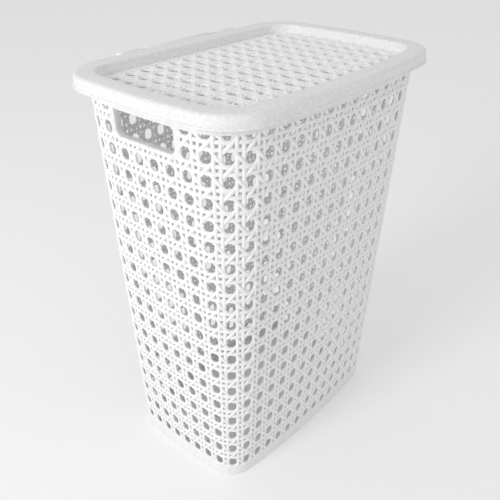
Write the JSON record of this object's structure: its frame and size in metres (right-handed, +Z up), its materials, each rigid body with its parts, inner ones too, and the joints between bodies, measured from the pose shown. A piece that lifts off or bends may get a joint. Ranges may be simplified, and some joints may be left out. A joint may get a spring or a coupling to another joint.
{
  "type": "laundry hamper with lid",
  "caption": "Tapered rectangular hamper with open cane-webbing lattice walls, a hand hole in each short side and a framed lattice lid hinged along the rear edge.",
  "frame": {"origin": "on the floor, in the middle of the foot band that the hamper stands on", "axes": "+Z up, +X along the long side, to the right as seen from the front, +Y towards the hinges at the rear"},
  "size_m": [0.438, 0.3117, 0.558],
  "materials": {
    "lattice_plastic": "white injection-moulded polypropylene with a fine texture, woven relief",
    "smooth_plastic": "white injection-moulded polypropylene with a fine satin texture",
    "pin_plastic": "white moulded polypropylene, smooth"
  },
  "bodies": {
    "basket": {"floor_tray": "smooth_plastic", "front_lattice": "lattice_plastic", "right_lattice": "lattice_plastic", "rear_lattice": "lattice_plastic", "left_lattice": "lattice_plastic", "front_right_corner": "lattice_plastic", "rear_right_corner": "lattice_plastic", "rear_left_corner": "lattice_plastic", "front_left_corner": "lattice_plastic", "right_hand_cheeks": "lattice_plastic", "left_hand_cheeks": "lattice_plastic", "rim_band": "smooth_plastic", "right_hand_frame": "smooth_plastic", "left_hand_frame": "smooth_plastic", "hinge_lugs": "smooth_plastic", "left_hinge_pin": "pin_plastic", "right_hinge_pin": "pin_plastic"},
    "lid": {"lid_frame": "smooth_plastic", "lid_panel": "lattice_plastic", "left_knuckle": "smooth_plastic", "right_knuckle": "smooth_plastic", "lid_rear_strip": "smooth_plastic"}
  },
  "joints": [
    {"name": "lid_hinge", "type": "hinge", "parent": "basket", "child": "lid", "pos_m": [0, 0.1504, 0.552], "axis": [-1, 0, 0], "range_deg": [0, 105]}
  ]
}
